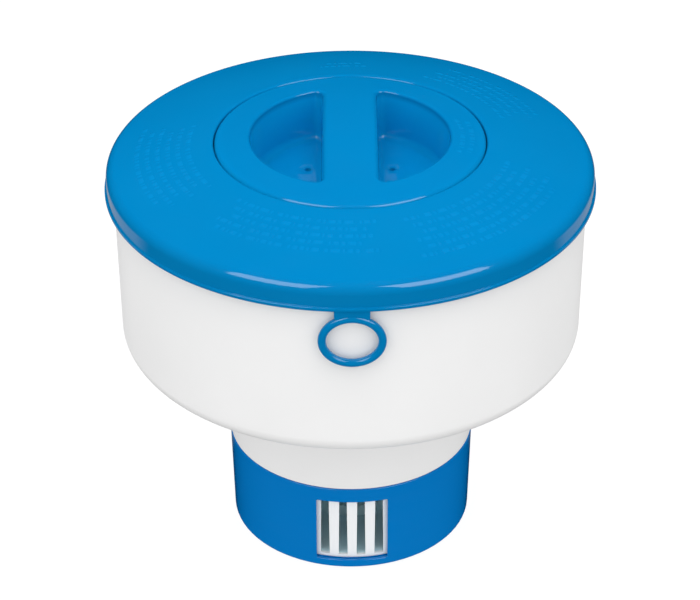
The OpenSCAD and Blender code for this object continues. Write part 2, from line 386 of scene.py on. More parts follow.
def climbing_bar(shell, radius, mid_a, sweep, z):
    """A lug or ledge round a radius, which climbs at the screw's lead as it goes round."""
    steps, end_ease = 16, 0.4
    section = rounded_box(LUG_W, LUG_H, LUG_EASE, cx=radius, n=4, side=3)
    centre_r = sum(p[0] for p in section) / len(section)
    tip = math.degrees(end_ease / centre_r)
    half = sweep / 2
    # Each end shrinks in two steps, which rounds it off
    end = [(half + tip * 0.3, 0.9), (half + tip, 0.6)]
    stations = [(-turn, scale) for turn, scale in reversed(end)]
    stations += [(-half + sweep * i / steps, 1.0) for i in range(steps + 1)]
    stations += end
    loops = []
    for turn, scale in stations:
        loop = []
        for r, h in section:
            reach = centre_r + (r - centre_r) * scale
            loop.append((*polar(reach, mid_a + turn), z + LEAD * turn / 360 + h * scale))
        loops.append(loop)
    shell.bar(loops)


# ---------------------------------------------------------------- float shell

def float_shell(material):
    """White bowl and neck."""
    wall_low = BOWL_Z + BOWL_CORNER_H
    corner_x = SHELL_R - BOWL_DRAW - BOWL_CORNER_W
    bead_r, bead_low, bead_high = SHELL_R + 0.45, RIM_Z + 3.4, RIM_Z + 4
    rim_inner = SHELL_R - 3
    root_r, inner_root_r = 3, 4
    root_z = BOWL_Z - 0.8 - root_r
    inner_root_z = BOWL_Z + SHELL_T - inner_root_r
    inner = NECK_R - SHELL_T
    profile = [(SHELL_R - 0.2, SHELL_TOP), (SHELL_R - 0.05, bead_high + 0.6),
               (bead_r, bead_high), (bead_r, bead_low),
               (SHELL_R, bead_low - 0.5), (SHELL_R, RIM_Z)]
    profile += arc(corner_x, wall_low, BOWL_CORNER_W, 0, -90, 40, BOWL_CORNER_H)
    profile += arc(NECK_R + root_r, root_z, root_r, 90, 180, 10)
    profile += rounded([(NECK_R, root_z - 3, 0), (NECK_R, NECK_LOW, 0.3),
                        (SPIGOT_R, NECK_LOW, 0.2), (SPIGOT_R, NECK_END, 0.4),
                        (THROAT_R, NECK_END, 0.2), (THROAT_R, NECK_LOW + 1.6, 0.4),
                        (inner, NECK_LOW + 3.2, 0.8), (inner, inner_root_z, 0)], n=4)
    profile += arc(inner + inner_root_r, inner_root_z, inner_root_r, 180, 90, 8)
    profile += arc(corner_x, wall_low, BOWL_CORNER_W - SHELL_T, -90, 0, 24,
                   BOWL_CORNER_H - SHELL_T)
    profile += [(SHELL_R - SHELL_T, RIM_Z - 2), (rim_inner, RIM_Z + 1),
                (rim_inner, SHELL_TOP)]
    shell = Shell()
    shell.turn(dense(profile))
    return piece("float_shell_moulding", shell, material, "float_white", "float",
                 "float_shell")


# ---------------------------------------------------------------- float cover

def cover_outside():
    """Section of the cover's outer side: mouth, dome, shoulder, lip and the shell's seat."""
    mouth = MOUTH_R + MOUTH_EASE
    edge = SHOULDER_X + SHOULDER_R * math.cos(math.radians(SHOULDER_A))
    lip_inner, seat_r = SHELL_R + 0.3, SHELL_R + 1
    profile = arc(mouth, dome_z(mouth) - MOUTH_EASE, MOUTH_EASE, 180, 99, 6)
    profile += [(r, dome_z(r)) for r in np.linspace(mouth, edge, 26)]
    profile += arc(SHOULDER_X, SHOULDER_Z, SHOULDER_R, SHOULDER_A, 0, 24)[1:]
    profile += rounded([(SKIRT_R, SHOULDER_Z - 0.4, 0), (SKIRT_R, RIM_Z + LIP_H, 0.2),
                        (RIM_R, RIM_Z + LIP_H, 0.4), (RIM_R, RIM_Z, 0.5),
                        (lip_inner, RIM_Z, 0)], n=5)
    profile += [(lip_inner, RIM_Z + 1.9), (seat_r, RIM_Z + 2.6), (seat_r, SEAT_Z),
                (SHELL_R - 3.6, SEAT_Z)]
    return profile


def cover_inside():
    """Section of the cover's inner side: underside, collar, seal groove and cap's bore."""
    web_r, guide_r = COLLAR_R + 4.1, COLLAR_R - 2.4
    groove_r, groove_top = THROAT_R + 1.6, SEAL_Z + GROOVE_H
    opening_r = TUBE_R + 0.6
    ledge_low, ledge_high = TUBE_TOP + 0.4, TUBE_TOP + 2.2
    mouth_z = dome_z(MOUTH_R + MOUTH_EASE) - 1
    profile = [(r, dome_z(r, COVER_T)) for r in np.linspace(SHELL_R - 4.4, web_r, 16)]
    profile += [(web_r, SHELF_Z - 2), (COLLAR_R, SHELF_Z - 3.6), (COLLAR_R, RIM_Z - 2),
                (guide_r, RIM_Z - 5)]
    profile += rounded([(guide_r, RIM_Z - 6, 0), (guide_r, COLLAR_LOW, 0.4),
                        (THROAT_R, COLLAR_LOW, 0.3), (THROAT_R, SEAL_Z, 0)], n=4)
    profile += [(groove_r, SEAL_Z), (groove_r, groove_top), (THROAT_R, groove_top),
                (THROAT_R, ledge_low)]
    profile += rounded([(opening_r, ledge_low, 0), (opening_r, ledge_high, 0.4),
                        (BORE_R, ledge_high, 0.8), (BORE_R, SHELF_Z, 0.5),
                        (MOUTH_R, SHELF_Z, 0.3), (MOUTH_R, mouth_z, 0)], n=5)
    return profile


def float_cover(material):
    """Blue cover with the collar that the cap screws into."""
    shell = Shell()
    shell.turn(dense(cover_outside() + cover_inside()))
    for angle in LUG_ANGLES:
        climbing_bar(shell, BORE_R - 0.75, angle + LEDGE_TURN, LEDGE_SWEEP, LEDGE_Z)
    return piece("float_cover_moulding", shell, material, "cover_blue", "float",
                 "float_cover")


def eye_ring(shell):
    """Oval ring of round section."""
    around, across = 120, 28
    a, b = (EYE_W - EYE_T) / 2, (EYE_H - EYE_T) / 2
    loops = []
    for i in range(around + 1):
        t = 2 * math.pi * i / around
        along = Vector((-a * math.sin(t), 0, b * math.cos(t))).normalized()
        out = Vector((along.z, 0, -along.x))
        centre = Vector((a * math.cos(t), EYE_Y, EYE_Z + b * math.sin(t)))
        loop = []
        for k in range(across):
            s = 2 * math.pi * k / across
            p = centre + (out * math.cos(s) + Vector((0, math.sin(s), 0))) * EYE_T / 2
            loop.append(tuple(p))
        loops.append(loop)
    shell.stack(loops)


def eye_tab(shell):
    """Tab between the cover's rim and the eye, with its edges eased front and back."""
    low, high = EYE_Z + EYE_H / 2 - 1.9, RIM_Z + 1.1
    front, back = EYE_Y - 0.9, EYE_Y + 1.0
    corner, ease = 1.2, 0.45
    turns = np.linspace(math.pi / 2, 0, 6)
    bevel = [(ease * (1 - math.sin(t)), ease * (1 - math.cos(t))) for t in turns]
    stations = [(front + depth, inset) for depth, inset in bevel]
    stations += [(back - depth, inset) for depth, inset in reversed(bevel)]
    loops = []
    for y, inset in stations:
        outline = rounded_box(TAB_W - 2 * inset, high - low - 2 * inset, corner - inset,
                              cy=(low + high) / 2, n=5, side=6)
        loops.append([(x, y, z) for x, z in outline])
    shell.bar(loops)


def tether_eye(material):
    """Oval eye and the tab that it hangs from, moulded with the cover."""
    shell = Shell()
    eye_ring(shell)
    eye_tab(shell)
    return piece("tether_eye_moulding", shell, material, "cover_blue", "float")


# ---------------------------------------------------------------- relief

# Arcs of dashes: from angle, to angle, first radius, rows, row pitch
COVER_RELIEF = [(166, 214, 58.5, 6, 3.7), (226, 280, 57, 5, 3.6), (288, 346, 58, 6, 3.7),
                (18, 62, 59, 5, 3.7), (84, 104, 62, 2, 3.7)]
CAP_RELIEF = [(-18, 20, 40.5, 2, 3.4)]
DASH_LENGTHS = [1.6, 0.9, 2.6, 1.2, 3.4, 0.8, 2.0, 1.4, 2.9, 1.0, 1.8]
DASH_W = 1.9
DASH_H = 0.11
DASH_GAP = 0.8
WIDE_GAP = 1.9


def dash(shell, radius, a0, a1):
    """One raised dash that follows an arc on the dome."""
    sunk, slope, ease, step = -0.1, 0.35, 0.25, 1.2
    n = max(3, int(radius * math.radians(a1 - a0) / step))
    tip = math.degrees(ease / radius)
    stations = [(a0, ease)]
    stations += [(a0 + tip + (a1 - a0 - 2 * tip) * i / n, 0.0) for i in range(n + 1)]
    stations += [(a1, ease)]
    loops = []
    for angle, inset in stations:
        w = DASH_W / 2 - inset
        top = DASH_H * (0.3 if inset else 1.0)
        section = [(-w, sunk), (-w, 0.0), (-w + slope, top), (w - slope, top), (w, 0.0),
                   (w, sunk)]
        loops.append([(*polar(radius + s, angle), dome_z(radius + s) + h)
                      for s, h in section])
    shell.bar(loops)


def relief(name, groups, material, slot, body):
    """Faint rows of small raised dashes, in arcs, with no lettering."""
    shell = Shell()
    pick = 0
    for a0, a1, first, rows, pitch in groups:
        for row in range(rows):
            radius = first + row * pitch
            # Rows start and end a few degrees apart
            angle = a0 + (row * 7 % 5)
            end = a1 - (row * 11 % 7)
            while True:
                length = DASH_LENGTHS[pick % len(DASH_LENGTHS)]
                step = math.degrees(length / radius)
                if angle + step > end:
                    break
                dash(shell, radius, angle, angle + step)
                gap = WIDE_GAP if pick % 5 == 0 else DASH_GAP
                angle += step + math.degrees(gap / radius)
                pick += 1
    return piece(name, shell, material, slot, body)


# ---------------------------------------------------------------- regulator

# Half the width of the stretch of wall that holds a window, and the steps across it
# and across the plain wall on each side
PANEL_X = WINDOW_W / 2 + 3.2
PANEL_STEPS = 28
SIDE_STEPS = 30
# A window's corners seen square on, the radius of its edges through the wall, and how
# far they reach beyond the opening
WINDOW_CORNER = 0.5
WINDOW_EASE = 0.45
WINDOW_LAP = WINDOW_EASE + 0.25
# Top of both skins of the cup's wall, and the bottom of the inner one
CUP_RIM_Z = CUP_H - 0.6
CUP_INNER_Z = CUP_FLOOR + 0.6
# How far small holes widen at their edges, and how deep that easing goes
HOLE_EASE = 0.3


def cup_outer(z):
    """Outer radius of the cup's wall at a height."""
    share = (z - FOOT_EASE) / (CUP_WALL_TOP - FOOT_EASE)
    return CUP_R_LOW + (CUP_R - CUP_R_LOW) * share


def cup_inner(z):
    """Inner radius of the cup's wall at a height."""
    share = (z - CUP_FLOOR) / (CUP_WALL_TOP - CUP_FLOOR)
    return CUP_IR_LOW + (CUP_IR - CUP_IR_LOW) * share


def on_cup(x, z, facing, radius_at, depth=0.0):
    """Point of a skin of the cup in front (facing -1) or behind, moved out by depth."""
    return -facing * x, facing * (math.sqrt(radius_at(z) ** 2 - x * x) + depth), z


def wall_ring(r):
    """Angles round the cup at radius r, with even steps across each window's panel."""
    edge = math.degrees(math.asin(PANEL_X / r))
    front = [math.degrees(math.asin(PANEL_X * (2 * i / PANEL_STEPS - 1) / r)) - 90
             for i in range(PANEL_STEPS)]
    right = [-90 + edge + (180 - 2 * edge) * i / SIDE_STEPS for i in range(SIDE_STEPS)]
    half = front + right
    return half + [a + 180 for a in half]


def cup_rings(profile, angles):
    """A loop through those angles for each (radius, height) of the profile."""
    return [[(*polar(r, a), z) for a in angles] for r, z in profile]


def window_outline(grow):
    """Outline of a window, seen square on, grown on all sides."""
    return rounded_box(WINDOW_W + 2 * grow, WINDOW_H + 2 * grow, WINDOW_CORNER + grow,
                       cy=WINDOW_Z + WINDOW_H / 2, n=4, side=18)


def cup_wall(shell, radius_at, z_low):
    """One skin of the cup's wall, with an opening in front and one behind."""
    rows = 26
    heights = [z_low + (CUP_RIM_Z - z_low) * i / rows for i in range(rows + 1)]
    for start in (PANEL_STEPS, 2 * PANEL_STEPS + SIDE_STEPS):
        loops = []
        for z in heights:
            ring = wall_ring(radius_at(z))
            ring.append(ring[0] + 360)
            loops += cup_rings([(radius_at(z), z)], ring[start:start + SIDE_STEPS + 1])
        shell.stack(loops, closed=False)
    across = [PANEL_X * (2 * i / PANEL_STEPS - 1) for i in range(PANEL_STEPS + 1)]
    border = [(x, z_low) for x in across] + [(PANEL_X, z) for z in heights[1:-1]]
    border += [(x, CUP_RIM_Z) for x in reversed(across)]
    border += [(-PANEL_X, z) for z in reversed(heights[1:-1])]
    for facing in (-1, 1):
        shell.fill([border, window_outline(WINDOW_LAP)], spacing=1.6,
                   lift=lambda x, z: on_cup(x, z, facing, radius_at))


def window_reveal(shell, facing):
    """The rounded edges and the four sides of one window, through the wall."""
    def ring(grow, radius_at, depth):
        """The window's outline on one skin, grown and moved out by depth."""
        return [on_cup(x, z, facing, radius_at, depth) for x, z in window_outline(grow)]

    turns = np.linspace(math.pi / 2, 0, 6)
    edge = [(WINDOW_EASE * (1 - math.sin(t)), WINDOW_EASE * (1 - math.cos(t))) for t in turns]
    loops = [ring(WINDOW_LAP, cup_outer, 0)]
    loops += [ring(grow, cup_outer, -depth) for grow, depth in reversed(edge)]
    loops += [ring(grow, cup_inner, depth) for grow, depth in edge]
    loops.append(ring(WINDOW_LAP, cup_inner, 0))
    shell.stack(loops)


def water_slot(angle, grow):
    """Round-ended slot in the cup's floor, as a closed outline."""
    r0, r1, half = HUB_R + 6, FOOT_IR - 5, 2.1 + grow
    line = arc(r1, 0, half, -90, 90, 10) + arc(r0, 0, half, 90, 270, 10)
    c, s = polar(1, angle)
    return [(x * c - y * s, x * s + y * c) for x, y in line]


def stop_slot():
    """Arc in the hub in which the chamber's peg runs, as a closed outline."""
    half_w, spare = 1.55, 1
    spread = math.degrees(math.asin(PEG_R / STOP_R)) + spare
    a0, a1 = PEG_ANGLE - SHUT_TURN - spread, PEG_ANGLE + spread
    return arc(0, 0, STOP_R + half_w, a0, a1, 16) + arc(0, 0, STOP_R - half_w, a1, a0, 16)


def through_hole(shell, outline_at, top, under):
    """Sides of a hole through a floor. outline_at gives its outline grown by a length."""
    edge = [(HOLE_EASE, 0), (HOLE_EASE * 0.3, HOLE_EASE * 0.3), (0, HOLE_EASE)]
    loops = [at_height(outline_at(grow), top - depth) for grow, depth in edge]
    loops += [at_height(outline_at(grow), under + depth) for grow, depth in reversed(edge)]
    shell.stack(loops)


def cup_rim(shell):
    """Rim, from the outer skin over to the inner one."""
    outer, inner = cup_outer(CUP_RIM_Z), cup_inner(CUP_RIM_Z)
    rim = rounded([(outer, CUP_RIM_Z, 0), (CUP_R, CUP_H, 0.55), (CUP_IR, CUP_H, 0.55),
                   (inner, CUP_RIM_Z, 0)], n=5)
    outer_angles, inner_angles = wall_ring(outer), wall_ring(inner)
    loops = []
    for k, point in enumerate(rim):
        share = k / (len(rim) - 1)
        angles = [a + (b - a) * share for a, b in zip(outer_angles, inner_angles)]
        loops += cup_rings([point], angles)
    shell.stack(loops)


def cup_foot(shell):
    """Foot, from the outer skin to the floor's underside. Returns its edge there."""
    start = cup_outer(FOOT_EASE)
    foot = arc(CUP_R_LOW - FOOT_EASE, FOOT_EASE, FOOT_EASE, 0, -90, 8)
    foot += rounded([(CUP_R_LOW - 1.6, 0, 0), (FOOT_IR, 0, 0.3), (FOOT_IR, FOOT_H, 0.4),
                     (FOOT_IR - 1, FOOT_H, 0)], n=4)
    loops = cup_rings([(start, FOOT_EASE)] + foot[1:], wall_ring(start))
    shell.stack(loops)
    return [p[:2] for p in loops[-1]]


def cup_corner(shell):
    """Corner from the inner skin to the floor. Returns its edge on the floor."""
    start = cup_inner(CUP_INNER_Z)
    corner = rounded([(start, CUP_INNER_Z, 0), (cup_inner(CUP_FLOOR), CUP_FLOOR, 0.5),
                      (CUP_IR_LOW - 1.5, CUP_FLOOR, 0)], n=4)
    loops = cup_rings(corner, wall_ring(start))
    shell.stack(loops)
    return [p[:2] for p in loops[-1]]


def cup_floor(shell, upper_edge, lower_edge):
    """Both sides of the floor, out to the given edges, and its water slots."""
    slots = [water_slot(a, HOLE_EASE) for a in WATER_SLOTS]
    hub_above, hub_below = circle(HUB_R + 0.4, HUB_SEGMENTS), circle(HUB_R - 1.4, HUB_SEGMENTS)
    shell.fill([upper_edge, hub_above] + slots, spacing=3.4, lift=level(CUP_FLOOR))
    shell.fill([lower_edge, hub_below] + slots, spacing=3.4, lift=level(FOOT_H))
    for a in WATER_SLOTS:
        through_hole(shell, lambda grow: water_slot(a, grow), CUP_FLOOR, FOOT_H)


def cup_hub(shell):
    """Raised hub with the boss's bore, the peg's slot and a pocket for the washer."""
    pocket_r = HUB_R - 1.8
    hub = rounded([(HUB_R + 0.4, CUP_FLOOR, 0), (HUB_R, CUP_FLOOR, 0.3), (HUB_R, HUB_TOP, 0.4),
                   (HUB_R - 1, HUB_TOP, 0)], n=4)
    pocket = rounded([(HUB_R - 1.4, FOOT_H, 0), (pocket_r, FOOT_H, 0.3),
                      (pocket_r, HUB_Z, 0.2), (HUB_R - 2.4, HUB_Z, 0)], n=4)
    bore = [(HUB_BORE_R, HUB_TOP), (HUB_BORE_R, HUB_Z)]
    for profile in (hub, pocket, bore):
        shell.turn(profile, closed=False, n=HUB_SEGMENTS)
    for edge_r, z in ((HUB_R - 1, HUB_TOP), (HUB_R - 2.4, HUB_Z)):
        outlines = [circle(edge_r, HUB_SEGMENTS), circle(HUB_BORE_R, HUB_SEGMENTS), stop_slot()]
        shell.fill(outlines, spacing=2.5, lift=level(z))
    shell.stack([at_height(stop_slot(), z) for z in (HUB_TOP, HUB_Z)])


def regulator_cup(material):
    """Blue cup with a window in front and one behind."""
    shell = Shell()
    cup_wall(shell, cup_outer, FOOT_EASE)
    cup_wall(shell, cup_inner, CUP_INNER_Z)
    for facing in (-1, 1):
        window_reveal(shell, facing)
    cup_rim(shell)
    lower_edge = cup_foot(shell)
    upper_edge = cup_corner(shell)
    cup_floor(shell, upper_edge, lower_edge)
    cup_hub(shell)
    return piece("regulator_cup_moulding", shell, material, "regulator_blue", "regulator",
                 "regulator_cup")


# ---------------------------------------------------------------- twist cap

# Steps along a hollow's round wall, its two corners and the grip bar's face
WALL_STEPS = 84
CORNER_STEPS = 10
FACE_STEPS = 40
# For each point of a hollow's outline, 0 on the round wall and 1 on the bar's face
BAR_SHARE = [0.0] * (WALL_STEPS + 1) + [i / CORNER_STEPS for i in range(1, CORNER_STEPS + 1)]
BAR_SHARE += [1.0] * FACE_STEPS + [1 - i / CORNER_STEPS for i in range(1, CORNER_STEPS)]


def hollow_outline(side, line, radius, corner):
    """A circle cut off by the grip bar's face, with rounded corners."""
    cx = line + corner
    cy = math.sqrt((radius - corner) ** 2 - cx * cx)
    edge = math.degrees(math.atan2(cy, cx))
    out = arc(0, 0, radius, -edge, edge, WALL_STEPS)
    out += arc(cx, cy, corner, edge, 180, CORNER_STEPS)[1:]
    out += [(line, cy - 2 * cy * i / FACE_STEPS) for i in range(1, FACE_STEPS + 1)]
    out += arc(cx, -cy, corner, 180, 360 - edge, CORNER_STEPS)[1:-1]
    return [(x * side, y) for x, y in out]


def drain_outline(side, grow):
    """Outline of the drain hole in the floor of one hollow."""
    return circle(DRAIN_R + grow, HOLE_SEGMENTS, side * DRAIN_X, DRAIN_Y)


def finger_hollow(shell, side):
    """Walls and floor of one hollow. Returns its outline on the dome."""
    lip, bar_lip, floor_r, corner = 1.1, 1.7, 3.0, 2.6
    wall_draft, face_draft, lap = 1.2, 0.5, 0.3
    wall_low = RECESS_Z + floor_r
    lips = [lip + (bar_lip - lip) * share for share in BAR_SHARE]

    def plan(grow, t=0.0):
        """Outline at a share t of the way down the walls, grown on all sides."""
        line = GRIP_W / 2 + face_draft * t - grow
        radius = RECESS_R - wall_draft * t + grow
        return hollow_outline(side, line, radius, max(corner + grow, 0.4))

    def eased(part, extra=0.0):
        """Outline grown by part of the lip's radius, more along the bar."""
        thin, thick = plan(lip * part + extra), plan(bar_lip * part + extra)
        return [(p[0] * (1 - k) + q[0] * k, p[1] * (1 - k) + q[1] * k)
                for p, q, k in zip(thin, thick, BAR_SHARE)]

    border = eased(1, lap)
    loops = [[(x, y, dome_over(x, y)) for x, y in border]]
    for a in np.linspace(0, math.pi / 2, 11):
        loops.append([(x, y, dome_over(x, y) - r * (1 - math.cos(a)))
                      for (x, y), r in zip(eased(1 - math.sin(a)), lips)])
    for t in np.linspace(0, 1, 9)[1:]:
        loops.append([(x, y, (dome_over(x, y) - r) * (1 - t) + wall_low * t)
                      for (x, y), r in zip(plan(0, t), lips)])
    for a in np.linspace(0, math.pi / 2, 10)[1:]:
        ring = plan(-floor_r * (1 - math.cos(a)), 1)
        loops.append(at_height(ring, wall_low - floor_r * math.sin(a)))
    floor_edge = plan(-floor_r - lap, 1)
    loops.append(at_height(floor_edge, RECESS_Z))
    shell.stack(loops)
    drain = drain_outline(side, HOLE_EASE)
    shell.fill([floor_edge, drain], spacing=3.2, lift=level(RECESS_Z))
    through_hole(shell, lambda grow: drain_outline(side, grow), RECESS_Z, CAP_LOW_Z)
    return border


def channel_outline():
    """Plan of the space under the grip bar."""
    half, radius, corner = GRIP_W / 2 - RECESS_WALL, RECESS_R - 1, 1.6
    cx = half - corner
    cy = math.sqrt((radius - corner) ** 2 - cx * cx)
    edge = math.degrees(math.atan2(cy, cx))
    end = arc(cx, cy, corner, 0, edge, 6) + arc(0, 0, radius, edge, 180 - edge, 12)[1:-1]
    end += arc(-cx, cy, corner, 180 - edge, 180, 6)
    side = [(-half, cy - 2 * cy * i / 24) for i in range(1, 24)]
    half_outline = end + side
    return half_outline + [(-x, -y) for x, y in half_outline]


def cap_profile(top_r, under_r):
    """Section of the cap: its eased edge, the plug and the outside of the hollows' tub."""
    ease = CAP_R - top_r
    edge_z = dome_z(top_r)
    tub = RECESS_R + RECESS_WALL
    plug_inner = PLUG_R - PLUG_T
    profile = arc(top_r, edge_z - ease, ease, 81, 0, 12)
    profile[0] = (top_r, edge_z)
    profile += rounded([(CAP_R, edge_z - ease - 0.1, 0), (CAP_R, CAP_UNDER, 0.4),
                        (PLUG_R, CAP_UNDER, 0.5), (PLUG_R, PLUG_LOW_Z, 0.6),
                        (plug_inner, PLUG_LOW_Z, 0.6), (plug_inner, CAP_UNDER, 0.6),
                        (tub, CAP_UNDER, 0.6), (tub, CAP_LOW_Z, 1.2),
                        (under_r, CAP_LOW_Z, 0)], n=5)
    return profile


def twist_cap(material):
    """Blue cap with a grip bar between two finger hollows."""
    edge_ease, tub_ease = 1.6, 1.6
    top_r = CAP_R - edge_ease
    under_r = RECESS_R + RECESS_WALL - tub_ease
    shell = Shell()
    borders = [finger_hollow(shell, side) for side in (1, -1)]
    shell.fill([circle(top_r)] + borders, spacing=2.4,
               lift=lambda x, y: (x, y, dome_over(x, y)))
    shell.turn(cap_profile(top_r, under_r), closed=False)
    channel = channel_outline()
    drains = [drain_outline(side, HOLE_EASE) for side in (1, -1)]
    shell.fill([circle(under_r), channel] + drains, spacing=4.0, lift=level(CAP_LOW_Z))
    loops = []
    for t in np.linspace(0, 1, 7):
        loops.append([(x, y, CAP_LOW_Z * (1 - t) + dome_over(x, y, COVER_T) * t)
                      for x, y in channel])
    shell.stack(loops)
    shell.fill([channel], spacing=3.5,
               lift=lambda x, y: (x, y, dome_over(x, y, COVER_T)))
    for angle in LUG_ANGLES:
        climbing_bar(shell, PLUG_R + 0.75, angle, LUG_SWEEP, LUG_Z)
    return piece("twist_cap_moulding", shell, material, "cap_blue", "cap", "twist_cap")


# ---------------------------------------------------------------- materials

# Depth of the fine skin of glossy plastic, of satin plastic and of rubber, in metres
GLOSSY_SKIN = 0.000003
SATIN_SKIN = 0.00001
RUBBER_SKIN = 0.00003

# For each look: material, darker and lighter colour, roughness, how far the roughness
# varies, specular level, scale of the fine skin and its depth
LOOKS = {
    "cover": ("cover_blue_plastic", (0.0002, 0.170, 0.407), (0.0004, 0.177, 0.419),
              0.06, 0.02, 0.5, 160, GLOSSY_SKIN),
    "cap": ("cap_blue_plastic", (0.0002, 0.168, 0.408), (0.0004, 0.175, 0.420),
            0.06, 0.02, 0.5, 170, GLOSSY_SKIN),
    # The marks are lighter than the cover's and the cap's blue: painted sheen where the raised
    # dashes catch the light
    "marks": ("marks_painted_sheen_plastic", (0.0008, 0.182, 0.434), (0.0012, 0.194, 0.456),
              0.06, 0.02, 0.5, 160, GLOSSY_SKIN),
    "regulator": ("regulator_blue_plastic", (0.0002, 0.177, 0.530), (0.0004, 0.184, 0.545),
                  0.10, 0.02, 0.5, 170, GLOSSY_SKIN),
    "float": ("float_white_plastic", (0.835, 0.835, 0.835), (0.855, 0.855, 0.855),
              0.42, 0.02, 0.4, 300, SATIN_SKIN),
    "basket": ("basket_white_plastic", (0.875, 0.90, 0.92), (0.895, 0.92, 0.94),
               0.45, 0.02, 0.4, 300, SATIN_SKIN),
    "retainer": ("retainer_white_plastic", (0.74, 0.75, 0.76), (0.78, 0.79, 0.79),
                 0.48, 0.02, 0.4, 300, SATIN_SKIN),
    "rubber": ("seal_rubber", (0.030, 0.032, 0.035), (0.048, 0.050, 0.054),
               0.62, 0.08, 0.35, 900, RUBBER_SKIN),
}
# Painted light: colours mixed in where the thin walls seem to let some light through, a paler
# blue on the cap's hollows and a blue tint inside the basket
HOLLOW_PAINTED_LIGHT = (0.0006, 0.280, 0.60)
BASKET_PAINTED_LIGHT = (0.70, 0.93, 0.99)
# Looks of the CAD nodes that are shown as they are
NODE_LOOKS = {
    "tablet_chamber": "basket",
    "retainer_washer": "retainer",
    "retainer_screw": "retainer",
    "cover_gasket": "rubber",
    "chamber_seal": "rubber",
    "neck_gasket": "rubber",
    "cap_seal": "rubber",
}


def nodes_of(name):
    """A new material, its node tree and its shader."""
    material = bpy.data.materials.new(name)
    material.use_nodes = True
    tree = material.node_tree
    return material, tree, tree.nodes["Principled BSDF"]


def noise(tree, scale, detail=2.0, rough=0.5, stretch=None):
    """Noise over the piece's own coordinates, in metres."""
    coords = tree.nodes.new("ShaderNodeTexCoord")
    texture = tree.nodes.new("ShaderNodeTexNoise")
    texture.inputs["Scale"].default_value = scale
    texture.inputs["Detail"].default_value = detail
    texture.inputs["Roughness"].default_value = rough
    source = coords.outputs["Object"]
    if stretch:
        mapping = tree.nodes.new("ShaderNodeMapping")
        mapping.inputs["Scale"].default_value = stretch
        tree.links.new(source, mapping.inputs["Vector"])
        source = mapping.outputs["Vector"]
    tree.links.new(source, texture.inputs["Vector"])
    return texture.outputs["Fac"]


def ranged(tree, source, low, high, from_low=0.3, from_high=0.7):
    """A value taken from its own range to the range low to high, and kept within it."""
    node = tree.nodes.new("ShaderNodeMapRange")
    node.inputs["From Min"].default_value = from_low
    node.inputs["From Max"].default_value = from_high
    node.inputs["To Min"].default_value = low
    node.inputs["To Max"].default_value = high
    tree.links.new(source, node.inputs["Value"])
    return node.outputs["Result"]


def distance_to_origin(tree, vector, scale=(1, 1, 1)):
    """Length of a vector after each of its parts is scaled."""
    scaled = tree.nodes.new("ShaderNodeVectorMath")
    scaled.operation = "MULTIPLY"
    scaled.inputs[1].default_value = scale
    length = tree.nodes.new("ShaderNodeVectorMath")
    length.operation = "LENGTH"
    tree.links.new(vector, scaled.inputs[0])
    tree.links.new(scaled.outputs["Vector"], length.inputs[0])
    return length.outputs["Value"]


def colour_mix(tree, factor, shader):
    """A colour mix that feeds the shader's base colour."""
    mix = tree.nodes.new("ShaderNodeMix")
    mix.data_type = "RGBA"
    tree.links.new(factor, mix.inputs["Factor"])
    tree.links.new(mix.outputs["Result"], shader.inputs["Base Color"])
    return mix


def moulded(name, dark, light, roughness, spread, specular, skin_scale, skin_depth):
    """Moulded plastic: faint colour clouds, uneven gloss, flow marks and a fine skin."""
    material, tree, shader = nodes_of(name)
    clouds = noise(tree, scale=22, detail=4, rough=0.55)
    mix = colour_mix(tree, ranged(tree, clouds, 0, 1), shader)
    mix.inputs["A"].default_value = (*dark, 1)
    mix.inputs["B"].default_value = (*light, 1)
    flow = noise(tree, scale=60, detail=3, rough=0.6, stretch=(1.0, 1.0, 5.0))
    gloss = ranged(tree, flow, roughness - spread, roughness + spread)
    tree.links.new(gloss, shader.inputs["Roughness"])
    shader.inputs["Specular IOR Level"].default_value = specular
    bump = tree.nodes.new("ShaderNodeBump")
    bump.inputs["Strength"].default_value = 1.0
    bump.inputs["Distance"].default_value = skin_depth
    tree.links.new(noise(tree, skin_scale), bump.inputs["Height"])
    tree.links.new(bump.outputs["Normal"], shader.inputs["Normal"])
    return material


def paint_light_tone(material, colour, mask):
    """Mixes a painted light colour over the base colour where the mask is 1."""
    tree = material.node_tree
    shader = tree.nodes["Principled BSDF"]
    base = shader.inputs["Base Color"].links[0].from_socket
    mix = colour_mix(tree, mask(tree), shader)
    tree.links.new(base, mix.inputs["A"])
    mix.inputs["B"].default_value = (*colour, 1)


def hollow_painted_light_mask(tree):
    """Mask of the painted light in the cap's hollows: 1 on their steep walls, less on their
    floors, 0 on top.
    """
    coords = tree.nodes.new("ShaderNodeTexCoord")
    place = tree.nodes.new("ShaderNodeSeparateXYZ")
    facing = tree.nodes.new("ShaderNodeSeparateXYZ")
    tree.links.new(coords.outputs["Object"], place.inputs["Vector"])
    tree.links.new(coords.outputs["Normal"], facing.inputs["Vector"])
    top, fade = (CROWN_Z - 3.2) * MM, 2 * MM
    floor_share = 0.3
    below = ranged(tree, place.outputs["Z"], 1, 0, from_low=top - fade, from_high=top)
    steep = ranged(tree, facing.outputs["Z"], 1, floor_share, from_low=0.2, from_high=0.9)
    both = tree.nodes.new("ShaderNodeMath")
    both.operation = "MULTIPLY"
    tree.links.new(below, both.inputs[0])
    tree.links.new(steep, both.inputs[1])
    return both.outputs["Value"]


